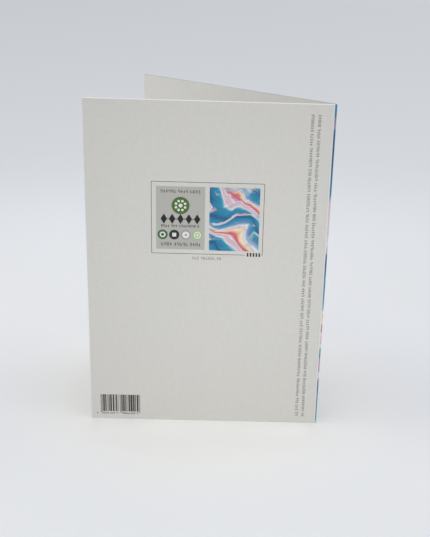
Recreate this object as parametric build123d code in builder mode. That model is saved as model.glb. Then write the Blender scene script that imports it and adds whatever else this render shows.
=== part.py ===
from build123d import *
from math import radians
import os

# A greeting card: one sheet of card, scored across its middle, folded and left standing half open.
#
# Millimetres and degrees. +Z is up and the card stands on the lower cut edge of the sheet. The back
# panel lies along X with its outer side towards -Y, and the fold is at its +X end. The front panel
# comes back from the fold towards -X and +Y. The origin is on the surface that the card stands on,
# under the middle of the space it takes up.

# The flat sheet as it is cut, with both panels side by side
sheet_length = 208.0
sheet_height = 148.0
sheet_thickness = 0.42

# How far the card stands open, measured between the insides of its panels
opening_angle = 36.1

# The scored fold: two tight shoulders with a flatter spine between them
shoulder_inner_radius = 0.14
spine_inner_radius = 0.80
spine_turn = 42.0

# Scoring presses a rounded bead out of the inside of the fold, which stops just short of its ends
bead_width = 0.56
bead_height = 0.17
bead_end_gap = 0.12

# The knife that cuts the sheet leaves its edges very slightly rounded
cut_edge_radius = 0.05

# The whole fold's turn is what the opening leaves of a flat fold, and the two shoulders share it
fold_turn = 180.0 - opening_angle
shoulder_turn = (fold_turn - spine_turn) / 2

# The middle of the sheet keeps its length in the fold, so each panel is half of what is left
middle_depth = sheet_thickness / 2
shoulder_length = radians(shoulder_turn) * (shoulder_inner_radius + middle_depth)
spine_length = radians(spine_turn) * (spine_inner_radius + middle_depth)
panel_length = (sheet_length - spine_length) / 2 - shoulder_length


def draw_side(depth):
    """Draw one side of the folded sheet in plan, depth in from its outer side.

    It runs from the free end of the back panel round the fold to the free end of the front panel.
    Returns both ends and the middle of the spine.
    """
    inward = sheet_thickness - depth
    back = Line((0, depth), (panel_length, depth))
    first_shoulder = JernArc(back @ 1, back % 1, shoulder_inner_radius + inward, shoulder_turn)
    spine = JernArc(first_shoulder @ 1, first_shoulder % 1, spine_inner_radius + inward, spine_turn)
    last_shoulder = JernArc(spine @ 1, spine % 1, shoulder_inner_radius + inward, shoulder_turn)
    front = PolarLine(last_shoulder @ 1, panel_length, direction=last_shoulder % 1)
    return back @ 0, front @ 1, spine @ 0.5


# The section of the sheet, seen from above, with the free end of the back panel at its own origin
with BuildSketch() as sheet_section:
    with BuildLine():
        outer_back_end, outer_front_end, outer_spine_middle = draw_side(0)
        inner_back_end, inner_front_end, inner_spine_middle = draw_side(sheet_thickness)
        Line(outer_back_end, inner_back_end)
        Line(outer_front_end, inner_front_end)
    make_face()

# The planes that the section stands on and that the bead starts from
section_middle = sheet_section.sketch.bounding_box().center()
foot_plane = Plane(origin=(-section_middle.X, -section_middle.Y, 0))
bead_plane = foot_plane.offset(bead_end_gap)

with BuildPart() as folded_card:
    with BuildSketch(foot_plane):
        add(sheet_section.sketch)
    extrude(amount=sheet_height)

    # The cut edges: the foot, the top, and the four upright ones at the panels' free ends
    edges_by_height = folded_card.edges().group_by(Axis.Z)
    fold_foot = foot_plane.from_local_coords(outer_spine_middle)
    free_end_edges = folded_card.edges().filter_by(Axis.Z).sort_by_distance(fold_foot)[-4:]
    fillet(edges_by_height[0] + edges_by_height[-1] + free_end_edges, radius=cut_edge_radius)

    # The score bead, half sunk in the inside of the spine and lying along it
    with BuildSketch(bead_plane):
        with Locations(inner_spine_middle):
            Ellipse(bead_width / 2, bead_height, rotation=fold_turn / 2)
    extrude(amount=sheet_height - 2 * bead_end_gap)

folded_card.part.label = "folded_card"
os.makedirs("parts", exist_ok=True)
export_step(folded_card.part, "parts/folded_card.step")
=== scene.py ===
import math
import random

import bmesh
import bpy
from mathutils import Matrix, Vector


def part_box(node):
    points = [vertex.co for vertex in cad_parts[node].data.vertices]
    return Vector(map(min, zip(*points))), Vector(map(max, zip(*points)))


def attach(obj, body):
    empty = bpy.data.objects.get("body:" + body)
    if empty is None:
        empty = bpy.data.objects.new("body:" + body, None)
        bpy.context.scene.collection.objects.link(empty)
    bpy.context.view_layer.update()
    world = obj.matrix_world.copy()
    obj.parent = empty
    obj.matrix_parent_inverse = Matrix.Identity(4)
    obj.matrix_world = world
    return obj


# The looks of a folded greeting card: recycled stock with a printed front, and small print on its back.
#
# Sizes on the card are written in millimetres, and those of the stage in metres. +Z is up, the back panel
# faces -Y and its fold is at its +X end. A place on the back panel is (u, v): u from its free edge towards
# the fold, and v up from its foot. Colours are (red, green, blue) in linear light.

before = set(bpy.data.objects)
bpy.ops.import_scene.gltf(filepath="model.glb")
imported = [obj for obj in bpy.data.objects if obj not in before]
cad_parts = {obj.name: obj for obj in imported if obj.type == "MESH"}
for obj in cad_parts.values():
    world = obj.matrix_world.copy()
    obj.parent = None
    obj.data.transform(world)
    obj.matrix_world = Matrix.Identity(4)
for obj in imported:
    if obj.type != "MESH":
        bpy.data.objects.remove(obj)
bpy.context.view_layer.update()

MM = 0.001
CARD_NODE = "folded_card"
BODY = "root"

# How far the card stands open and how thick its sheet is, as in the part's source
OPENING = math.radians(36.1)
SHEET_THICKNESS = 0.42

# Three directions: straight out of the front's printed side, along the front from the fold to its free
# edge, and straight out of the fold, away from both panels
FRONT_OUT = Vector((math.sin(OPENING), math.cos(OPENING), 0))
FRONT_RUN = Vector((-math.cos(OPENING), math.sin(OPENING), 0))
FOLD_OUT = Vector((math.cos(OPENING / 2), -math.sin(OPENING / 2), 0))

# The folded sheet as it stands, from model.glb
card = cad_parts[CARD_NODE]
card_low, card_high = (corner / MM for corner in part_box(CARD_NODE))
FREE_EDGE_X, FOLD_X = card_low.x, card_high.x
BACK_FACE_Y = card_low.y
CARD_TOP = card_high.z


def reach(direction):
    """The furthest that the sheet reaches in a direction, in millimetres."""
    return max(vertex.co.dot(direction) for vertex in card.data.vertices) / MM


FRONT_FACE_OFFSET = reach(FRONT_OUT)
FRONT_FOLD_EDGE = -reach(-FRONT_RUN)
FRONT_WIDTH = reach(FRONT_RUN) - FRONT_FOLD_EDGE

# The print isn't quite square to the fold. This is how far it leans, as a share of its height: nearer to
# the fold below the level at which its places are given, and further from it above.
PRINT_LEAN = 0.0023
PRINT_LEVEL = 98.0


# Shader nodes


class Graph:
    """A node tree, with one short call for each kind of node that the materials need."""

    def __init__(self, tree):
        self.tree = tree

    def add(self, kind, inputs=None, **settings):
        """Adds a node. A value of inputs is a number, a colour or another node's socket."""
        node = self.tree.nodes.new(kind)
        for name, value in settings.items():
            setattr(node, name, value)
        for name, value in (inputs or {}).items():
            if isinstance(value, bpy.types.NodeSocket):
                self.link(value, node.inputs[name])
            else:
                node.inputs[name].default_value = value
        return node

    def link(self, output, socket):
        self.tree.links.new(output, socket)

    def math(self, operation, *values):
        return self.add("ShaderNodeMath", dict(enumerate(values)), operation=operation).outputs[0]

    def vector_math(self, operation, *values):
        return self.add("ShaderNodeVectorMath", dict(enumerate(values)), operation=operation).outputs[0]

    def scaled(self, vector, scale):
        node = self.add("ShaderNodeVectorMath", {0: vector, "Scale": scale}, operation="SCALE")
        return node.outputs[0]

    def dot(self, vector, direction):
        node = self.add("ShaderNodeVectorMath", {0: vector, 1: direction}, operation="DOT_PRODUCT")
        return node.outputs["Value"]

    def length(self, vector):
        return self.add("ShaderNodeVectorMath", {0: vector}, operation="LENGTH").outputs["Value"]

    def split(self, vector):
        return self.add("ShaderNodeSeparateXYZ", {0: vector}).outputs

    def join(self, x, y, z=0.0):
        return self.add("ShaderNodeCombineXYZ", {0: x, 1: y, 2: z}).outputs[0]

    def stretched(self, vector, scale, turn=(0, 0, 0)):
        inputs = {"Vector": vector, "Scale": scale, "Rotation": turn}
        return self.add("ShaderNodeMapping", inputs).outputs[0]

    def noise(self, vector, scale, detail, roughness, output="Fac"):
        inputs = {"Vector": vector, "Scale": scale, "Detail": detail, "Roughness": roughness}
        return self.add("ShaderNodeTexNoise", inputs).outputs[output]

    def cells(self, vector, scale):
        """How far a place is from the middle of its cell."""
        return self.add("ShaderNodeTexVoronoi", {"Vector": vector, "Scale": scale}).outputs["Distance"]

    def step(self, value, start, end, low=0.0, high=1.0):
        """Runs smoothly from low to high as value goes from start to end."""
        inputs = {"Value": value, "From Min": start, "From Max": end, "To Min": low, "To Max": high}
        return self.add("ShaderNodeMapRange", inputs, interpolation_type="SMOOTHSTEP").outputs[0]

    def mix(self, share, first, second, blend="MIX"):
        """Mixes two colours, each (red, green, blue) or another node's socket."""
        inputs = {"Factor": share}
        for socket, colour in ((6, first), (7, second)):
            inputs[socket] = (*colour, 1.0) if isinstance(colour, tuple) else colour
        return self.add("ShaderNodeMix", inputs, data_type="RGBA", blend_type=blend).outputs[2]

    def shaded(self, colour, shade):
        """A colour times a number."""
        return self.mix(1.0, colour, self.join(shade, shade, shade), "MULTIPLY")

    def ramp(self, value, stops):
        """A colour ramp through stops, which are (place, colour) in order."""
        node = self.add("ShaderNodeValToRGB", {"Fac": value})
        elements = node.color_ramp.elements
        while len(elements) < len(stops):
            elements.new(1.0)
        for element, (place, colour) in zip(elements, stops):
            element.position = place
            element.color = (*colour, 1.0)
        return node.outputs["Color"]

    def bump(self, height, depth):
        """A bump whose height of 1 stands depth metres off the surface."""
        return self.add("ShaderNodeBump", {"Height": height, "Distance": depth}).outputs["Normal"]

    def group(self, group, **inputs):
        node = self.add("ShaderNodeGroup")
        node.node_tree = group
        for name, value in inputs.items():
            self.link(value, node.inputs[name])
        return node.outputs


def new_group(name, inputs, outputs):
    """A node group with named sockets, each (name, type). Returns its tree, graph, inputs and outputs."""
    tree = bpy.data.node_groups.new(name, "ShaderNodeTree")
    for socket, kind in inputs:
        tree.interface.new_socket(socket, in_out="INPUT", socket_type=kind)
    for socket, kind in outputs:
        tree.interface.new_socket(socket, in_out="OUTPUT", socket_type=kind)
    start = tree.nodes.new("NodeGroupInput")
    end = tree.nodes.new("NodeGroupOutput")
    return tree, Graph(tree), start.outputs, end.inputs


def new_material(name):
    """A material with a plain shader. Returns it with its graph and its shader."""
    material = bpy.data.materials.new(name)
    material.use_nodes = True
    tree = material.node_tree
    return material, Graph(tree), tree.nodes["Principled BSDF"]


def place_in_mm(graph):
    """The place in the row frame, in millimetres."""
    coordinates = graph.add("ShaderNodeTexCoord").outputs["Object"]
    return graph.scaled(coordinates, 1 / MM)


# Recycled stock

STOCK_COLOUR = (0.592, 0.583, 0.554)
STOCK_WARM = (0.600, 0.586, 0.552)
STOCK_COOL = (0.582, 0.580, 0.556)
DARK_FLECK = (0.300, 0.285, 0.260)
PALE_FLECK = (0.780, 0.765, 0.730)

# The stock's irregularities, from slow clouds to the fuzz of single fibres. Each is (how often it comes in
# a millimetre, detail, roughness).
CLOUDS = (0.045, 3.0, 0.5)
FORMATION = (0.55, 4.0, 0.62)
TOOTH = (2.6, 3.0, 0.6)
FUZZ = (1.0, 3.0, 0.7)
FUZZ_STRETCH, FUZZ_TURN = (3.0, 9.0, 5.0), (0.4, 0.2, 0.7)

# The middle of a noise's range, in which nearly all its values lie, and a narrower middle of the clouds'
NOISE_MIDDLE = (0.2, 0.8)
CLOUD_MIDDLE = (0.35, 0.65)

# How strongly they tint, shade and raise the stock, how rough it is from its dips to its tops, and how high
# its relief is
CLOUD_TINT = 0.45
FORMATION_SHADE, TOOTH_SHADE = 0.025, 0.015
FORMATION_HEIGHT, TOOTH_HEIGHT, FUZZ_HEIGHT = 0.80, 0.55, 0.30
STOCK_ROUGHNESS = (0.80, 0.95)
TOOTH_DEPTH = 0.016

# How strongly stock and ink shine
SPECULAR = 0.30

# Specks: how often they come and how their edge fades, the patches that hold them, and how far they show
SPECK_SCALE, SPECK_EDGE = 0.24, (0.060, 0.025)
SPECK_PATCHES, PATCH_EDGE = (0.13, 1.0, 0.5), (0.40, 0.58)
SPECK_COVER = 0.34

# Stray fibres: their spacing, half length, half width and turn, and how far they show
DARK_FIBRES, DARK_FIBRE_COVER = (9.0, 1.3, 0.10, (0.5, 0.9, 0.3)), 0.20
PALE_FIBRES, PALE_FIBRE_COVER = (4.0, 1.6, 0.12, (1.1, 0.3, 1.9)), 0.28

# How a stray fibre bends, as shares of the spacing: how often, and how far. Then its edge, as shares of its
# half width.
FIBRE_BENDS, FIBRE_BEND = 1.3, 0.6
FIBRE_EDGE = (1.1, 0.5)


def stray_fibres(graph, place, spacing, half_length, half_width, turn):
    """A mask of short fibres, about one to each cell of that spacing."""
    stretch = (1 / half_length, 1 / half_width, 1 / half_width)
    turned = graph.stretched(place, (1, 1, 1), turn)
    drift = graph.noise(turned, FIBRE_BENDS / spacing, 1.0, 0.5, "Color")
    bent = graph.vector_math("ADD", turned, graph.scaled(drift, spacing * FIBRE_BEND))
    distance = graph.cells(graph.stretched(bent, stretch), half_width * 2 / spacing)
    return graph.step(distance, *(half_width * share / spacing for share in FIBRE_EDGE))


def make_stock_group():
    """The look of the bare stock: its colour, its height for the bump, and its roughness."""
    tree, graph, inputs, outputs = new_group(
        "recycled_stock",
        [("Place", "NodeSocketVector")],
        [("Color", "NodeSocketColor"), ("Height", "NodeSocketFloat"), ("Roughness", "NodeSocketFloat")],
    )
    place = inputs["Place"]
    clouds = graph.noise(place, *CLOUDS)
    formation = graph.noise(place, *FORMATION)
    tooth = graph.noise(place, *TOOTH)
    fuzz = graph.noise(graph.stretched(place, FUZZ_STRETCH, FUZZ_TURN), *FUZZ)

    tint = graph.mix(graph.step(clouds, *CLOUD_MIDDLE), STOCK_COOL, STOCK_WARM)
    tinted = graph.mix(CLOUD_TINT, STOCK_COLOUR, tint)
    cloudy = graph.step(formation, *NOISE_MIDDLE, 1 - FORMATION_SHADE, 1 + FORMATION_SHADE)
    toothed = graph.step(tooth, *NOISE_MIDDLE, -TOOTH_SHADE, TOOTH_SHADE)
    shaded = graph.shaded(tinted, graph.math("ADD", cloudy, toothed))

    specks = graph.step(graph.cells(place, SPECK_SCALE), *SPECK_EDGE)
    patches = graph.step(graph.noise(place, *SPECK_PATCHES), *PATCH_EDGE)
    specks_shown = graph.math("MULTIPLY", graph.math("MULTIPLY", specks, patches), SPECK_COVER)
    speckled = graph.mix(specks_shown, shaded, DARK_FLECK)
    dark = graph.math("MULTIPLY", stray_fibres(graph, place, *DARK_FIBRES), DARK_FIBRE_COVER)
    pale = graph.math("MULTIPLY", stray_fibres(graph, place, *PALE_FIBRES), PALE_FIBRE_COVER)
    fibrous = graph.mix(pale, graph.mix(dark, speckled, DARK_FLECK), PALE_FLECK)

    height = graph.math("MULTIPLY", fuzz, FUZZ_HEIGHT)
    height = graph.math("MULTIPLY_ADD", tooth, TOOTH_HEIGHT, height)
    height = graph.math("MULTIPLY_ADD", formation, FORMATION_HEIGHT, height)
    graph.link(fibrous, outputs["Color"])
    graph.link(height, outputs["Height"])
    graph.link(graph.step(tooth, *NOISE_MIDDLE, *STOCK_ROUGHNESS), outputs["Roughness"])
    return tree


STOCK = make_stock_group()


# The picture: brushed waves of colour, which the front shows at full size and the back panel shows small

DEEP_BLUE = (0.008, 0.085, 0.220)
STRONG_BLUE = (0.010, 0.190, 0.365)
SEA_BLUE = (0.016, 0.260, 0.410)
LIGHT_BLUE = (0.270, 0.500, 0.620)
VIOLET = (0.180, 0.220, 0.450)
WHITE = (0.760, 0.760, 0.770)
PALE_PINK = (0.660, 0.480, 0.545)
PINK = (0.640, 0.330, 0.420)
MAGENTA = (0.600, 0.095, 0.225)
CORAL = (0.680, 0.190, 0.190)
YELLOW = (0.800, 0.560, 0.260)
CREAM = (0.800, 0.700, 0.560)

# The colours across one wave
WAVE_COLOURS = [
    (0.000, DEEP_BLUE), (0.060, STRONG_BLUE), (0.230, SEA_BLUE), (0.280, LIGHT_BLUE), (0.300, WHITE),
    (0.330, PALE_PINK), (0.425, PALE_PINK), (0.450, WHITE), (0.470, PINK), (0.505, MAGENTA),
    (0.540, CORAL), (0.575, YELLOW), (0.615, CREAM), (0.650, PALE_PINK), (0.675, WHITE),
    (0.700, LIGHT_BLUE), (0.750, VIOLET), (0.800, SEA_BLUE), (0.930, STRONG_BLUE), (1.000, DEEP_BLUE),
]
WAVE_TURN = math.radians(58)
WAVES_IN_WIDTH = 1.4
WAVE_START = 0.1

# The part of the endless pattern that the picture shows, and how the waves bend: each (scale, reach)
PICTURE_CORNER = (19.4, 23.1, 0.0)
WAVE_BENDS = ((0.9, 1.10), (2.3, 0.34), (6.0, 0.10), (17.0, 0.030))

# The brush: how its strokes are drawn out along a wave and vary, and how dark and pale they are. Then how
# ragged they make the edges of the waves and of the streaks, in waves.
BRISTLE_STRETCH, BRISTLES = (2.2, 34.0, 1.0), (1.0, 4.0, 0.65)
STROKE_MIDDLE, STROKE_SHADES = (0.25, 0.75), (0.76, 1.04)
RAGGED_WAVES, RAGGED_STREAKS = 0.075, 0.10

# The loose streaks over the waves: their drawn-out shape, the edge at which they start and how far they
# cover, how many waves on their colour is taken, and how much white goes into it
STREAK_STRETCH, STREAKS = (0.9, 8.5, 1.0), (1.0, 2.0, 0.5)
STREAK_EDGE, STREAK_COVER = (0.56, 0.64), 0.85
STREAK_SHIFT = 0.42
STREAK_WHITE = 0.38


def make_waves_group():
    """Brushed waves of colour. Place is across and up the picture, in widths of the picture."""
    tree, graph, inputs, outputs = new_group(
        "painted_waves", [("Place", "NodeSocketVector")], [("Color", "NodeSocketColor")]
    )
    place = graph.vector_math("ADD", inputs["Place"], PICTURE_CORNER)
    for scale, push in WAVE_BENDS:
        noise = graph.noise(place, scale, 1.0, 0.5, "Color")
        drift = graph.vector_math("SUBTRACT", noise, (0.5, 0.5, 0.5))
        place = graph.vector_math("ADD", place, graph.scaled(drift, push))
    run = (0, 0, math.pi / 2 - WAVE_TURN)
    bristles = graph.noise(graph.stretched(place, BRISTLE_STRETCH, run), *BRISTLES)
    ragged = graph.math("SUBTRACT", bristles, 0.5)

    across = graph.dot(place, (math.cos(WAVE_TURN), math.sin(WAVE_TURN), 0))
    waves = graph.math("MULTIPLY_ADD", across, WAVES_IN_WIDTH, WAVE_START)
    wave = graph.math("FRACT", graph.math("MULTIPLY_ADD", ragged, RAGGED_WAVES, waves))
    colour = graph.ramp(wave, WAVE_COLOURS)

    loose = graph.noise(graph.stretched(place, STREAK_STRETCH, run), *STREAKS)
    ragged_loose = graph.math("MULTIPLY_ADD", ragged, RAGGED_STREAKS, loose)
    streaks = graph.step(ragged_loose, *STREAK_EDGE, 0.0, STREAK_COVER)
    other = graph.ramp(graph.math("FRACT", graph.math("ADD", waves, STREAK_SHIFT)), WAVE_COLOURS)
    streaked = graph.mix(streaks, colour, graph.mix(STREAK_WHITE, other, WHITE))

    strokes = graph.step(bristles, *STROKE_MIDDLE, *STROKE_SHADES)
    graph.link(graph.shaded(streaked, strokes), outputs["Color"])
    return tree


WAVES = make_waves_group()


# The card's own material

EDGE_COLOUR = (0.920, 0.910, 0.875)
INKY_EDGE_COLOUR = (0.230, 0.300, 0.320)
# The next two are painted light: a paler highlight on the strip beside the fold, and a darker shade in its
# groove
CREASE_HIGHLIGHT_COLOUR = (0.720, 0.685, 0.625)
GROOVE_SHADE_COLOUR = (0.450, 0.440, 0.410)

# How deep below its face the look of each side reaches: where it has faded out, and where it starts to
FRONT_DEPTHS = (0.12, 0.08)
BACK_DEPTHS = (0.08, 0.04)
INSIDE_DEPTHS = (0.05, 0.03)

# How squarely a face has to look up or down, or along its panel, to be a cut edge, and how near to the fold
# the faces belong to the fold instead
UP_OR_DOWN = (0.25, 0.70)
ALONG_PANEL = (0.75, 0.92)
FOLD_REACH = 4.0

# The ink dragged over the front's cut edges ends past the sheet's inner side, where it has faded out and
# where it starts to. Its end wavers.
INK_DRAG = (0.20, 0.06)
INK_DRAG_COVER = 0.85
DRAG_WAVER, DRAG_WAVER_REACH = (1.7, 2.0, 0.5), 0.15

# How far below the top the inside's trace of ink starts and is whole, and the same of the painted
# highlight along the back's top edge
TRACE_START, TRACE_WHOLE, TRACE_COVER = 0.50, 0.35, 0.10
TOP_HIGHLIGHT_START, TOP_HIGHLIGHT_WHOLE, TOP_HIGHLIGHT_COVER = 0.38, 0.05, 0.90

# The front's print wraps round the fold and ends on the back panel, this far before the fold's outermost
# line. Beside it a strip is painted paler, a painted highlight where the sheet bends into the fold, and a
# fine groove along its far side is painted darker, a painted shade in the groove.
PRINT_WRAP_END = FOLD_X - 0.82
PRINT_END_FADE = 0.02
OUT_OF_FOLD = (0.05, 0.15)
CREASE_WIDTH, CREASE_FADE, CREASE_HIGHLIGHT_COVER = 0.70, 0.12, 0.55
GROOVE_WIDTH, GROOVE_SHADE_COVER = 0.14, 0.40

# Print is smoother than bare stock, by this much, and thins where the grain stands high: from which height
# to which, and how large a share of the stock shows there
PRINT_SMOOTHER = 0.22
GAP_GRAIN = (0.60, 0.80)
GAP_SHARE = (0.02, 0.12)


def below_front(graph, place):
    """How deep a place lies below the front's printed side."""
    return graph.math("SUBTRACT", FRONT_FACE_OFFSET, graph.dot(place, FRONT_OUT))


def before_print_end(graph, place):
    """How far a place on the back panel is from the end of the print that wraps round the fold."""
    x, _, z = graph.split(place)
    leant = graph.math("MULTIPLY_ADD", graph.math("SUBTRACT", PRINT_LEVEL, z), PRINT_LEAN, PRINT_WRAP_END)
    return graph.math("SUBTRACT", leant, x)


def back_mask(graph, place):
    """1 on the back panel's outer side."""
    return graph.step(graph.split(place)[1], *(BACK_FACE_Y + depth for depth in BACK_DEPTHS))


def printed_mask(graph, place, normal):
    """1 where the front's picture is printed: the front's outer side, and round the fold."""
    on_front = graph.step(below_front(graph, place), *FRONT_DEPTHS)
    past_crease = graph.step(before_print_end(graph, place), PRINT_END_FADE, -PRINT_END_FADE)
    outward = graph.step(graph.dot(normal, FOLD_OUT), *OUT_OF_FOLD)
    return graph.math("MAXIMUM", on_front, graph.math("MULTIPLY", past_crease, outward))


def cut_edge_mask(graph, place, normal):
    """1 on the sheet's cut edges: its top and foot, and both free ends."""
    upright = graph.step(graph.math("ABSOLUTE", graph.split(normal)[2]), *UP_OR_DOWN)
    ends = graph.math("MAXIMUM", graph.dot(normal, (-1, 0, 0)), graph.dot(normal, FRONT_RUN))
    away_from_fold = graph.math("LESS_THAN", graph.split(place)[0], FOLD_X - FOLD_REACH)
    on_end = graph.math("MULTIPLY", graph.step(ends, *ALONG_PANEL), away_from_fold)
    return graph.math("MAXIMUM", upright, on_end)


def lay_cut_edges(graph, place, normal, colour):
    """Lays the look of the cut edges over a colour.

    The knife has dragged a little ink over the front's cut edges, and a trace of it onto the inside's top.
    The back's edges are bare, and just under its top its face is painted paler: a painted highlight, where
    the light from above catches the edge.
    """
    z = graph.split(place)[2]
    depth = below_front(graph, place)
    wavering = graph.math("MULTIPLY_ADD", graph.noise(place, *DRAG_WAVER), DRAG_WAVER_REACH, depth)
    inky = graph.step(wavering, *(SHEET_THICKNESS + past for past in INK_DRAG), 0.0, INK_DRAG_COVER)
    edge_colour = graph.mix(inky, EDGE_COLOUR, INKY_EDGE_COLOUR)
    cut = graph.mix(cut_edge_mask(graph, place, normal), colour, edge_colour)

    # Painted highlight: the back's face is painted paler just under its top, where the light from above
    # catches the edge
    up_to_top_highlight = graph.step(z, CARD_TOP - TOP_HIGHLIGHT_START, CARD_TOP - TOP_HIGHLIGHT_WHOLE, 0.0, TOP_HIGHLIGHT_COVER)
    top_highlighted = graph.mix(graph.math("MULTIPLY", back_mask(graph, place), up_to_top_highlight), cut, EDGE_COLOUR)

    from_inside = graph.math("ABSOLUTE", graph.math("SUBTRACT", depth, SHEET_THICKNESS))
    inside = graph.step(from_inside, *INSIDE_DEPTHS)
    up_to_trace = graph.step(z, CARD_TOP - TRACE_START, CARD_TOP - TRACE_WHOLE, 0.0, TRACE_COVER)
    return graph.mix(graph.math("MULTIPLY", inside, up_to_trace), top_highlighted, INKY_EDGE_COLOUR)


def lay_crease_highlight_and_groove_shade(graph, place, colour):
    """Lays painted highlight beside the fold and painted shade in its groove over a colour, on the back
    only.
    """
    on_back = back_mask(graph, place)
    before_print = before_print_end(graph, place)
    strip = graph.step(before_print, CREASE_WIDTH, CREASE_WIDTH - CREASE_FADE, 0.0, CREASE_HIGHLIGHT_COVER)
    from_groove = graph.math("ABSOLUTE", graph.math("SUBTRACT", before_print, CREASE_WIDTH))
    groove = graph.step(from_groove, GROOVE_WIDTH, GROOVE_WIDTH / 3, 0.0, GROOVE_SHADE_COVER)
    crease_highlighted = graph.mix(graph.math("MULTIPLY", strip, on_back), colour, CREASE_HIGHLIGHT_COLOUR)
    return graph.mix(graph.math("MULTIPLY", groove, on_back), crease_highlighted, GROOVE_SHADE_COLOUR)


def inked_picture(graph, across, up, width, grain, stock_colour):
    """The picture in ink, with a little of the stock in its gaps. Its own place is across, up and width."""
    picture = graph.group(WAVES, Place=graph.scaled(graph.join(across, up), 1 / width))["Color"]
    gaps = graph.step(grain, *GAP_GRAIN, *GAP_SHARE)
    return graph.mix(gaps, picture, stock_colour)


def finish_shader(graph, shader, colour, roughness, height):
    """Gives a shader its colour, its roughness and the stock's tooth."""
    graph.link(colour, shader.inputs["Base Color"])
    if isinstance(roughness, float):
        shader.inputs["Roughness"].default_value = roughness
    else:
        graph.link(roughness, shader.inputs["Roughness"])
    graph.link(graph.bump(height, TOOTH_DEPTH * MM), shader.inputs["Normal"])
    shader.inputs["Specular IOR Level"].default_value = SPECULAR


def make_card_material():
    """Recycled stock: pale cut edges, painted light and shade on the back, and the picture on the front."""
    material, graph, shader = new_material("recycled_card")
    place = place_in_mm(graph)
    normal = graph.add("ShaderNodeNewGeometry").outputs["True Normal"]
    stock = graph.group(STOCK, Place=place)
    cut = lay_cut_edges(graph, place, normal, stock["Color"])
    bare = lay_crease_highlight_and_groove_shade(graph, place, cut)

    across = graph.math("SUBTRACT", graph.dot(place, FRONT_RUN), FRONT_FOLD_EDGE)
    tooth = graph.noise(place, *TOOTH)
    inked = inked_picture(graph, across, graph.split(place)[2], FRONT_WIDTH, tooth, stock["Color"])
    printed = printed_mask(graph, place, normal)
    smoother = graph.math("MULTIPLY", printed, PRINT_SMOOTHER)
    roughness = graph.math("SUBTRACT", stock["Roughness"], smoother)
    finish_shader(graph, shader, graph.mix(printed, bare, inked), roughness, stock["Height"])
    return material


# Inks of the back panel's print

# The grain by which an ink thins and roughens, between which of its heights it thins, and how rough it is
INK_GRAIN = (3.4, 3.0, 0.65)
INK_GRAIN_MIDDLE = (0.30, 0.75)
INK_ROUGHNESS = (0.56, 0.72)
PICTURE_ROUGHNESS = 0.62

# How much of the stock an ink hides where nothing else is said
USUAL_COVER = 0.96


def make_ink_material(name, colour, cover=USUAL_COVER):
    """Ink on recycled stock, of which it hides the share cover. The rest shows through in small gaps."""
    material, graph, shader = new_material(name)
    place = place_in_mm(graph)
    stock = graph.group(STOCK, Place=place)
    grain = graph.noise(place, *INK_GRAIN)
    thinnest = 1 - 2 * (1 - cover)
    hidden = graph.step(grain, *INK_GRAIN_MIDDLE, 1.0, thinnest)
    roughness = graph.step(grain, *NOISE_MIDDLE, *INK_ROUGHNESS)
    finish_shader(graph, shader, graph.mix(hidden, stock["Color"], colour), roughness, stock["Height"])
    return material


def make_picture_material(low_u, low_v, width):
    """The picture, printed small on the back panel with its lower left corner at (low_u, low_v)."""
    material, graph, shader = new_material("small_picture_ink")
    place = place_in_mm(graph)
    stock = graph.group(STOCK, Place=place)
    x, _, z = graph.split(place)
    across = graph.math("SUBTRACT", x, FREE_EDGE_X + low_u)
    up = graph.math("SUBTRACT", z, low_v)
    grain = graph.noise(place, *INK_GRAIN)
    inked = inked_picture(graph, across, up, width, grain, stock["Color"])
    finish_shader(graph, shader, inked, PICTURE_ROUGHNESS, stock["Height"])
    return material


# Print on the back panel, as thin closed plates of ink

# How far each level of ink stands above the one below it, and how deep every plate is sunk into the card
INK_STEP = 0.012
INK_SINK = 0.030

# How many corners a circle has: the emblem's disc, a small disc, a ring and a dot
EMBLEM_CORNERS, DISC_CORNERS, RING_CORNERS, DOT_CORNERS = 72, 48, 32, 24


class Plate:
    """A mesh of thin closed plates on the back panel, all at one level of ink."""

    def __init__(self, level):
        self.mesh = bmesh.new()
        self.proud = level * INK_STEP

    def point(self, u, v, proud):
        leant = u + (PRINT_LEVEL - v) * PRINT_LEAN
        return self.mesh.verts.new(Vector((FREE_EDGE_X + leant, BACK_FACE_Y - proud, v)) * MM)

    def fill(self, outline):
        """Adds the plate inside an outline of (u, v) corners, anticlockwise as seen from outside."""
        outer = [self.point(u, v, self.proud) for u, v in outline]
        inner = [self.point(u, v, -INK_SINK) for u, v in outline]
        self.mesh.faces.new(outer)
        self.mesh.faces.new(inner[::-1])
        for first in range(len(outline)):
            second = (first + 1) % len(outline)
            self.mesh.faces.new((inner[first], inner[second], outer[second], outer[first]))

    def bar(self, low_u, low_v, high_u, high_v):
        self.fill([(low_u, low_v), (high_u, low_v), (high_u, high_v), (low_u, high_v)])

    def ring(self, outline, hole):
        """Adds the plate between an outline and a hole with as many corners."""
        rim, rim_foot, lip, lip_foot = [
            [self.point(u, v, proud) for u, v in corners]
            for corners in (outline, hole)
            for proud in (self.proud, -INK_SINK)
        ]
        for first in range(len(outline)):
            second = (first + 1) % len(outline)
            self.mesh.faces.new((rim[first], rim[second], lip[second], lip[first]))
            self.mesh.faces.new((rim_foot[second], rim_foot[first], lip_foot[first], lip_foot[second]))
            self.mesh.faces.new((rim_foot[first], rim_foot[second], rim[second], rim[first]))
            self.mesh.faces.new((lip[first], lip[second], lip_foot[second], lip_foot[first]))

    def finish(self, name, material):
        """Makes the plates into one piece that rides with the card."""
        bmesh.ops.recalc_face_normals(self.mesh, faces=self.mesh.faces)
        data = bpy.data.meshes.new(name)
        self.mesh.to_mesh(data)
        self.mesh.free()
        data.materials.append(material)
        piece = bpy.data.objects.new(name, data)
        bpy.context.scene.collection.objects.link(piece)
        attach(piece, BODY)


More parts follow.
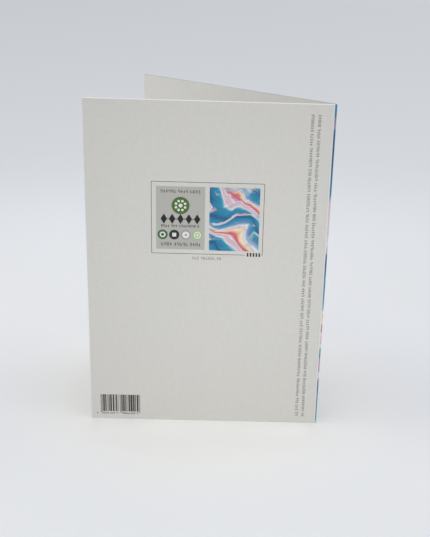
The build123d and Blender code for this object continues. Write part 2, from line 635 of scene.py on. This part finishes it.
def circle(u, v, radius, corners):
    turns = (2 * math.pi * corner / corners for corner in range(corners))
    return [(u + radius * math.cos(turn), v + radius * math.sin(turn)) for turn in turns]


def lozenge(u, v, half_width, half_height):
    return [(u + half_width, v), (u, v + half_height), (u - half_width, v), (u, v - half_height)]


# Small plain marks that spell nothing. Each is some bars, which run from one place to another along the
# line and from one height to another, all in heights of the line.
MARK_WIDTH = 0.58
MARK_PITCH = 0.80
MARK_GAP = 0.50
MARKS = (
    ((0.00, 0.20, 0.00, 1.00), (0.38, 0.58, 0.00, 1.00)),
    ((0.00, 0.20, 0.00, 1.00), (0.38, 0.58, 0.00, 0.55)),
    ((0.00, 0.58, 0.00, 0.20), (0.00, 0.58, 0.40, 0.60), (0.00, 0.58, 0.80, 1.00)),
    ((0.19, 0.39, 0.00, 1.00), (0.00, 0.58, 0.40, 0.60)),
    ((0.00, 0.20, 0.45, 1.00), (0.38, 0.58, 0.00, 1.00)),
    ((0.00, 0.58, 0.00, 0.20), (0.10, 0.48, 0.36, 0.74)),
)

# The fewest and most marks that stand together before a gap
MARKS_TOGETHER = (3, 9)

# The seed by which the marks and bars are drawn
MARK_SEED = 11


def marks_in_line(plate, dice, start, length, base, height, upright=False):
    """Fills a line with groups of marks.

    The line starts at start and runs for length. It stands on base with its height to the left of its
    run: along u and up v, or, if upright, down v with its height towards the fold.
    """
    end = length / height - MARK_WIDTH
    at = 0.0
    while at < end:
        for _ in range(dice.randint(*MARKS_TOGETHER)):
            if at > end:
                break
            for first, last, low, high in dice.choice(MARKS):
                run_start, run_end = ((at + along) * height for along in (first, last))
                foot, top = (base + level * height for level in (low, high))
                if upright:
                    plate.bar(foot, start - run_end, top, start - run_start)
                else:
                    plate.bar(start + run_start, foot, start + run_end, top)
            at += MARK_PITCH
        at += MARK_GAP


# The framed block in the upper middle of the back panel

FRAME_LEFT, FRAME_RIGHT = 27.89, 75.84
FRAME_FOOT, FRAME_TOP = 81.80, 113.85
FRAME_LINE = 0.22
FRAME_GAP_START, FRAME_GAP_END = 68.2, 75.4
PANEL_LEFT, PANEL_RIGHT = 29.95, 50.78
PANEL_FOOT, PANEL_TOP = 83.84, 111.83
PANEL_MIDDLE = (PANEL_LEFT + PANEL_RIGHT) / 2
PICTURE_LEFT, PICTURE_RIGHT = 52.65, 74.00
PICTURE_FOOT, PICTURE_TOP = 83.62, 111.80

# The dark blocks in the gap of the frame's line
GAP_BLOCKS = 5
GAP_BLOCKS_START, GAP_BLOCK_PITCH, GAP_BLOCK_WIDTH = 69.1, 1.26, 0.70
GAP_BLOCKS_FOOT, GAP_BLOCKS_TOP = 81.25, 82.95

# The emblem: a disc with a dot in its middle and a ring of smaller dots
EMBLEM_V = 103.45
EMBLEM_RADIUS = 3.8
EMBLEM_MIDDLE_DOT = 0.85
EMBLEM_DOTS, EMBLEM_DOT, EMBLEM_DOTS_RADIUS = 8, 0.55, 2.1

# The row of lozenges, with a dot between each two
TITLE_V = 97.5
TITLE_LOZENGES, TITLE_PITCH = 5, 3.55
TITLE_HALF_WIDTH, TITLE_HALF_HEIGHT = 1.40, 2.25
TITLE_DOT = 0.25

NEAR_BLACK = (0.012, 0.010, 0.014)
MID_GREY = (0.300, 0.300, 0.300)
LEAF_GREEN = (0.050, 0.130, 0.008)
DARK_GREEN = (0.035, 0.120, 0.030)
PALE_GREEN = (0.290, 0.450, 0.180)
FRAME_GREY = (0.058, 0.055, 0.046)
PANEL_GREY = (0.402, 0.396, 0.370)
MARK_WHITE = (0.700, 0.700, 0.670)

# The four small discs: each one's name, ink, and plain white shapes. A square is given by its half side, a
# ring by both its radii and a dot by its radius.
ROUNDEL_V = 90.42
ROUNDEL_RADIUS = 2.20
ROUNDEL_PITCH = 4.97
ROUNDELS_MIDDLE = PANEL_MIDDLE - 0.17
ROUNDELS = (
    ("dark_green", DARK_GREEN, {"ring": (1.25, 0.70)}),
    ("near_black", NEAR_BLACK, {"square": 0.85}),
    ("mid_grey", MID_GREY, {"ring": (1.55, 0.50)}),
    ("pale_green", PALE_GREEN, {"ring": (1.60, 1.05), "dot": 0.60}),
)

# The lines of small marks in the panel and under the block, in the order in which they are drawn: each
# one's name, level of ink, start, length, base and height, and its ink's colour and cover
SMALL_LINES = (
    ("upper_line", 2, 31.90, 17.05, 108.92, 1.40, (0.067, 0.067, 0.067), 0.93),
    ("tiny_line", 2, 32.15, 16.45, 93.80, 1.15, (0.017, 0.017, 0.018), 0.97),
    ("green_line", 2, 32.20, 16.80, 85.40, 1.50, (0.030, 0.085, 0.018), 0.95),
    ("caption_line", 1, 45.45, 13.30, 79.35, 1.30, (0.215, 0.215, 0.208), 0.93),
)


def print_frame_line():
    """The thin line round the block, open at its foot where the small dark blocks sit."""
    plate = Plate(1)
    left, right, foot, top, line = FRAME_LEFT, FRAME_RIGHT, FRAME_FOOT, FRAME_TOP, FRAME_LINE
    plate.fill([
        (FRAME_GAP_START, foot), (FRAME_GAP_START, foot + line), (left + line, foot + line),
        (left + line, top - line), (right - line, top - line), (right - line, foot + line),
        (FRAME_GAP_END, foot + line), (FRAME_GAP_END, foot), (right, foot), (right, top),
        (left, top), (left, foot),
    ])
    plate.finish("print_frame_line", make_ink_material("frame_line_ink", FRAME_GREY, 0.95))


def print_gap_marks():
    """A few plain dark blocks in the gap of the frame line."""
    plate = Plate(1)
    for place in range(GAP_BLOCKS):
        left = GAP_BLOCKS_START + place * GAP_BLOCK_PITCH
        plate.bar(left, GAP_BLOCKS_FOOT, left + GAP_BLOCK_WIDTH, GAP_BLOCKS_TOP)
    plate.finish("print_gap_marks", make_ink_material("gap_marks_ink", NEAR_BLACK))


def print_panel():
    plate = Plate(1)
    plate.bar(PANEL_LEFT, PANEL_FOOT, PANEL_RIGHT, PANEL_TOP)
    plate.finish("print_grey_panel", make_ink_material("grey_panel_ink", PANEL_GREY, 0.95))


def print_picture():
    plate = Plate(1)
    plate.bar(PICTURE_LEFT, PICTURE_FOOT, PICTURE_RIGHT, PICTURE_TOP)
    width = PICTURE_RIGHT - PICTURE_LEFT
    plate.finish("print_small_picture", make_picture_material(PICTURE_LEFT, PICTURE_FOOT, width))


def print_emblem(white):
    """A green disc with a rosette of dots."""
    disc = Plate(2)
    disc.fill(circle(PANEL_MIDDLE, EMBLEM_V, EMBLEM_RADIUS, EMBLEM_CORNERS))
    disc.finish("print_emblem", make_ink_material("leaf_green_ink", LEAF_GREEN))
    dots = Plate(3)
    dots.fill(circle(PANEL_MIDDLE, EMBLEM_V, EMBLEM_MIDDLE_DOT, RING_CORNERS))
    for place in range(EMBLEM_DOTS):
        turn = 2 * math.pi * (place + 0.5) / EMBLEM_DOTS
        u = PANEL_MIDDLE + EMBLEM_DOTS_RADIUS * math.cos(turn)
        v = EMBLEM_V + EMBLEM_DOTS_RADIUS * math.sin(turn)
        dots.fill(circle(u, v, EMBLEM_DOT, DOT_CORNERS))
    dots.finish("print_emblem_dots", white)


def print_title():
    """A row of dark lozenges with dots between them."""
    plate = Plate(2)
    for place in range(TITLE_LOZENGES):
        u = PANEL_MIDDLE + (place - (TITLE_LOZENGES - 1) / 2) * TITLE_PITCH
        plate.fill(lozenge(u, TITLE_V, TITLE_HALF_WIDTH, TITLE_HALF_HEIGHT))
        if place < TITLE_LOZENGES - 1:
            plate.fill(circle(u + TITLE_PITCH / 2, TITLE_V, TITLE_DOT, DOT_CORNERS))
    plate.finish("print_title_row", make_ink_material("near_black_title_ink", NEAR_BLACK, 0.99))


def print_roundels(white):
    """Four small discs with plain white shapes."""
    marks = Plate(3)
    for place, (name, colour, shapes) in enumerate(ROUNDELS):
        u = ROUNDELS_MIDDLE + (place - (len(ROUNDELS) - 1) / 2) * ROUNDEL_PITCH
        disc = Plate(2)
        disc.fill(circle(u, ROUNDEL_V, ROUNDEL_RADIUS, DISC_CORNERS))
        disc.finish(f"print_roundel_{name}", make_ink_material(f"{name}_ink", colour))
        if "square" in shapes:
            half = shapes["square"]
            marks.bar(u - half, ROUNDEL_V - half, u + half, ROUNDEL_V + half)
        if "ring" in shapes:
            marks.ring(*(circle(u, ROUNDEL_V, radius, RING_CORNERS) for radius in shapes["ring"]))
        if "dot" in shapes:
            marks.fill(circle(u, ROUNDEL_V, shapes["dot"], DOT_CORNERS))
    marks.finish("print_roundel_marks", white)


def print_small_lines(dice):
    """The lines of small marks in the panel and under the block."""
    for name, level, start, length, base, height, colour, cover in SMALL_LINES:
        plate = Plate(level)
        marks_in_line(plate, dice, start, length, base, height)
        plate.finish(f"print_{name}", make_ink_material(f"{name}_ink", colour, cover))


# The block of bars near the foot of the back panel
BARS_LEFT, BARS_RIGHT = 4.05, 22.10
BARS_FOOT, BARS_TOP = 3.84, 12.52
LONG_BARS_FOOT = 3.18
BARS_INK = (0.038, 0.030, 0.031)

# Its width is that of so many modules, of one thin bar each. In modules from its left end come its longer
# thin bars, the two stretches that other bars fill, and the widths and gaps that those are drawn from.
BAR_MODULES = 95
LONG_BARS = (0, 2, 46, 48, 92, 94)
BAR_STRETCHES = ((4, 45), (50, 91))
BAR_WIDTHS = (1, 2, 3, 4, 5)
BAR_GAPS = (1, 1, 2, 2)

# The small marks under the bars: their height and base, the start and length of a first mark by itself, and
# in modules the starts and the length of the two lines after it
BAR_MARKS_BASE, BAR_MARKS_HEIGHT = 2.42, 1.0
FIRST_BAR_MARK = (2.3, 0.9)
BAR_LINE_STARTS, BAR_LINE_LENGTH = (3.5, 50.5), 41

# The two long lines that run down beside the fold
SIDE_LINES_TOP, SIDE_LINES_LENGTH = 143.55, 140.6
SIDE_LINE_BASES, SIDE_LINE_HEIGHT = (96.61, 93.76), 1.3
SIDE_LINES_INK = (0.172, 0.170, 0.162)


def print_bars(dice):
    """A block of plain bars of uneven widths near the foot, with small marks under it."""
    plate = Plate(1)
    module = (BARS_RIGHT - BARS_LEFT) / BAR_MODULES
    for at in LONG_BARS:
        plate.bar(BARS_LEFT + at * module, LONG_BARS_FOOT, BARS_LEFT + (at + 1) * module, BARS_TOP)

    for at, end in BAR_STRETCHES:
        while at < end - 2:
            width = min(dice.choice(BAR_WIDTHS), end - at)
            plate.bar(BARS_LEFT + at * module, BARS_FOOT, BARS_LEFT + (at + width) * module, BARS_TOP)
            at += width + dice.choice(BAR_GAPS)

    lines = [(BARS_LEFT + start * module, BAR_LINE_LENGTH * module) for start in BAR_LINE_STARTS]
    for start, length in (FIRST_BAR_MARK, *lines):
        marks_in_line(plate, dice, start, length, BAR_MARKS_BASE, BAR_MARKS_HEIGHT)
    plate.finish("print_bars", make_ink_material("bars_ink", BARS_INK))


def print_side_lines(dice):
    """Two long lines of small grey marks that run down beside the fold."""
    plate = Plate(1)
    for base in SIDE_LINE_BASES:
        marks_in_line(plate, dice, SIDE_LINES_TOP, SIDE_LINES_LENGTH, base, SIDE_LINE_HEIGHT, upright=True)
    plate.finish("print_side_lines", make_ink_material("side_lines_ink", SIDE_LINES_INK, 0.94))


def dress_card():
    """Gives the card its material and its print."""
    material = make_card_material()
    for slot in card.material_slots:
        slot.material = material
    dice = random.Random(MARK_SEED)
    white = make_ink_material("white_marks_ink", MARK_WHITE, 0.80)
    print_frame_line()
    print_gap_marks()
    print_panel()
    print_picture()
    print_emblem(white)
    print_title()
    print_roundels(white)
    print_small_lines(dice)
    print_bars(dice)
    print_side_lines(dice)


# The stage, in metres: a pale floor, soft light, and the camera

# The floor's tone close to the card and further round it, where the one ends and the other starts, and how
# that tone drifts a little from place to place
FLOOR_NEAR = (0.876, 0.880, 0.870)
FLOOR_AROUND = (0.831, 0.850, 0.883)
NEAR_END, AROUND_START = 0.055, 0.110
FLOOR_DRIFT, FLOOR_SHADE = (9.0, 3.0, 0.5), 0.01
FLOOR_ROUGHNESS, FLOOR_SPECULAR = 0.9, 0.15
FLOOR_RADIUS, FLOOR_CORNERS = 6.0, 96

# The floor lies a hair below the card's foot, so that the two don't share a plane
FLOOR_DROP = 0.00002

# Close in front of the card's foot the floor is painted paler, painted light that takes out the card's
# contact shade there: by how much at most, how far in front of the foot that reaches, and how far to each
# side it is whole and ends
FOOT_PAINTED_LIGHT = 0.10
FOOT_PAINTED_LIGHT_REACH = 0.022
FOOT_PAINTED_LIGHT_WHOLE, FOOT_PAINTED_LIGHT_END = 0.042, 0.052

# Far from the card the floor is only a pale background, whose tones are painted light, darker further off
# as the light on a floor falls off: where that starts and is whole, how far its tones run, and the tones
# themselves, each (metres from the card, colour)
BACKGROUND_START, BACKGROUND_WHOLE = 0.16, 0.45
BACKGROUND_REACH = 2.0
BACKGROUND_TONES = [
    (0.20, (0.745, 0.775, 0.805)),
    (0.50, (0.657, 0.677, 0.708)),
    (0.75, (0.630, 0.654, 0.688)),
    (1.15, (0.608, 0.632, 0.660)),
    (1.95, (0.589, 0.613, 0.645)),
]

# The background is painted a little paler towards +X, as painted light, by this share in each metre
BACKGROUND_LEAN = 0.05

# The soft light from all round
WORLD_COLOUR = (1.000, 1.000, 1.000)
WORLD_STRENGTH = 0.764

# Each lamp: name, place, size of its square and power in watts. All of them are white and point at the
# card.
LAMPS = [
    ("side_softbox", (-1.20, 0.05, 0.30), 0.6, 4.87),
    ("upper_right_softbox", (0.80, -0.10, 1.10), 1.0, 1.25),
    ("back_right_softbox", (1.20, 0.40, 0.60), 1.0, 1.36),
]
LAMP_TARGET = Vector((0, 0, 0.07))

# A soft spot in front lays a slightly brighter pool on the back panel: its middle and how far it spreads
SPOT_PLACE = Vector((0.15, -1.30, 0.40))
SPOT_TARGET = Vector((0.015, -0.031, 0.065))
SPOT_SPREAD = 0.14
SPOT_POWER = 29.0
SPOT_SIZE = 0.12

# The camera, fitted to the card's edges: its place, how it looks down, turns and tilts, and its lens.
# The picture is a little off the middle of what the lens sees, by these shares of its height.
CAMERA_PLACE = (0.00687, -0.42325, 0.22177)
CAMERA_PITCH = math.radians(22.175)
CAMERA_YAW = math.radians(1.009)
CAMERA_ROLL = math.radians(-1.794)
CAMERA_LENS_MM = 64.463
CAMERA_SHIFT_X, CAMERA_SHIFT_Y = -0.0423, 0.0544
CAMERA_NEAREST, CAMERA_FURTHEST = 0.01, 50


def seen_directly(graph):
    """1 for what the camera sees, itself or in a mirror or glass, and 0 for what only sheds light."""
    seen = graph.add("ShaderNodeLightPath").outputs
    direct = graph.math("MAXIMUM", seen["Is Camera Ray"], seen["Is Glossy Ray"])
    return graph.math("MAXIMUM", direct, seen["Is Transmission Ray"])


def painted_light_at_foot(graph, x, y):
    """How much painted light makes the floor paler at a place close in front of the card's foot."""
    in_front = graph.math("SUBTRACT", BACK_FACE_Y * MM, y)
    near_foot = graph.step(in_front, FOOT_PAINTED_LIGHT_REACH, 0.0)
    close = graph.math("MULTIPLY", graph.math("GREATER_THAN", in_front, 0.0), near_foot)
    beside = graph.step(graph.math("ABSOLUTE", x), FOOT_PAINTED_LIGHT_END, FOOT_PAINTED_LIGHT_WHOLE, 0.0, FOOT_PAINTED_LIGHT)
    return graph.math("MULTIPLY", close, beside)


def make_floor_material():
    """Pale paper, painted paler before the card's foot, that far off turns to a background of painted
    light.
    """
    material, graph, shader = new_material("pale_floor")
    place = graph.add("ShaderNodeTexCoord").outputs["Object"]
    x, y, _ = graph.split(place)
    distance = graph.length(place)
    drift = graph.step(graph.noise(place, *FLOOR_DRIFT), *NOISE_MIDDLE, 1 - FLOOR_SHADE, 1 + FLOOR_SHADE)
    # The floor's tone drifts a little at random, and close in front of the foot painted light makes it
    # paler
    shade = graph.math("ADD", drift, painted_light_at_foot(graph, x, y))
    paper = graph.mix(graph.step(distance, NEAR_END, AROUND_START), FLOOR_NEAR, FLOOR_AROUND)
    graph.link(graph.shaded(paper, shade), shader.inputs["Base Color"])
    shader.inputs["Roughness"].default_value = FLOOR_ROUGHNESS
    shader.inputs["Specular IOR Level"].default_value = FLOOR_SPECULAR

    tones = [(metres / BACKGROUND_REACH, tone) for metres, tone in BACKGROUND_TONES]
    tone = graph.ramp(graph.math("DIVIDE", distance, BACKGROUND_REACH), tones)
    # Painted light: far off the floor glows in tones that darken with distance and grow paler towards +X
    strength = graph.math("MULTIPLY_ADD", x, BACKGROUND_LEAN, 1.0)
    background = graph.add("ShaderNodeEmission", {"Color": tone, "Strength": strength}).outputs[0]
    far_off = graph.step(distance, BACKGROUND_START, BACKGROUND_WHOLE)
    share = graph.math("MULTIPLY", seen_directly(graph), far_off)
    surface = graph.add("ShaderNodeMixShader", {0: share, 1: shader.outputs[0], 2: background}).outputs[0]
    graph.link(surface, graph.tree.nodes["Material Output"].inputs["Surface"])
    return material


def make_floor():
    """A wide pale disc under the card, which takes the card's shadow."""
    mesh = bmesh.new()
    bmesh.ops.create_circle(mesh, cap_ends=True, segments=FLOOR_CORNERS, radius=FLOOR_RADIUS)
    data = bpy.data.meshes.new("floor")
    mesh.to_mesh(data)
    mesh.free()
    data.materials.append(make_floor_material())
    floor = bpy.data.objects.new("floor", data)
    floor.location.z = -FLOOR_DROP
    bpy.context.scene.collection.objects.link(floor)


def make_world():
    """Soft light from all round. The camera sees a pale tone where it looks past the floor."""
    world = bpy.data.worlds.new("soft_room")
    world.use_nodes = True
    graph = Graph(world.node_tree)
    background = world.node_tree.nodes["Background"]
    direct = seen_directly(graph)
    graph.link(graph.mix(direct, WORLD_COLOUR, BACKGROUND_TONES[-1][1]), background.inputs["Color"])
    strength = graph.math("MULTIPLY_ADD", direct, 1 - WORLD_STRENGTH, WORLD_STRENGTH)
    graph.link(strength, background.inputs["Strength"])
    bpy.context.scene.world = world


def hang_lamp(light, place, target):
    lamp = bpy.data.objects.new(light.name, light)
    lamp.location = place
    lamp.rotation_euler = (target - lamp.location).to_track_quat("-Z", "Y").to_euler()
    bpy.context.scene.collection.objects.link(lamp)


def make_lamps():
    for name, place, size, power in LAMPS:
        light = bpy.data.lights.new(name, "AREA")
        light.size = size
        light.energy = power
        hang_lamp(light, place, LAMP_TARGET)

    spot = bpy.data.lights.new("front_spot", "SPOT")
    spot.energy = SPOT_POWER
    spot.shadow_soft_size = SPOT_SIZE
    spot.spot_size = 2 * math.atan(SPOT_SPREAD / (SPOT_PLACE - SPOT_TARGET).length)
    spot.spot_blend = 1.0
    hang_lamp(spot, SPOT_PLACE, SPOT_TARGET)


def make_camera():
    data = bpy.data.cameras.new("photo_camera")
    data.lens = CAMERA_LENS_MM
    data.shift_x = CAMERA_SHIFT_X
    data.shift_y = CAMERA_SHIFT_Y
    data.clip_start = CAMERA_NEAREST
    data.clip_end = CAMERA_FURTHEST
    camera = bpy.data.objects.new("photo_camera", data)
    turn = Matrix.Rotation(-CAMERA_YAW, 4, "Z")
    look_down = Matrix.Rotation(math.pi / 2 - CAMERA_PITCH, 4, "X")
    tilt = Matrix.Rotation(-CAMERA_ROLL, 4, "Z")
    camera.matrix_world = Matrix.Translation(CAMERA_PLACE) @ turn @ look_down @ tilt
    bpy.context.scene.collection.objects.link(camera)
    bpy.context.scene.camera = camera


dress_card()
make_floor()
make_world()
make_lamps()
make_camera()
bpy.context.scene.view_settings.view_transform = "Standard"
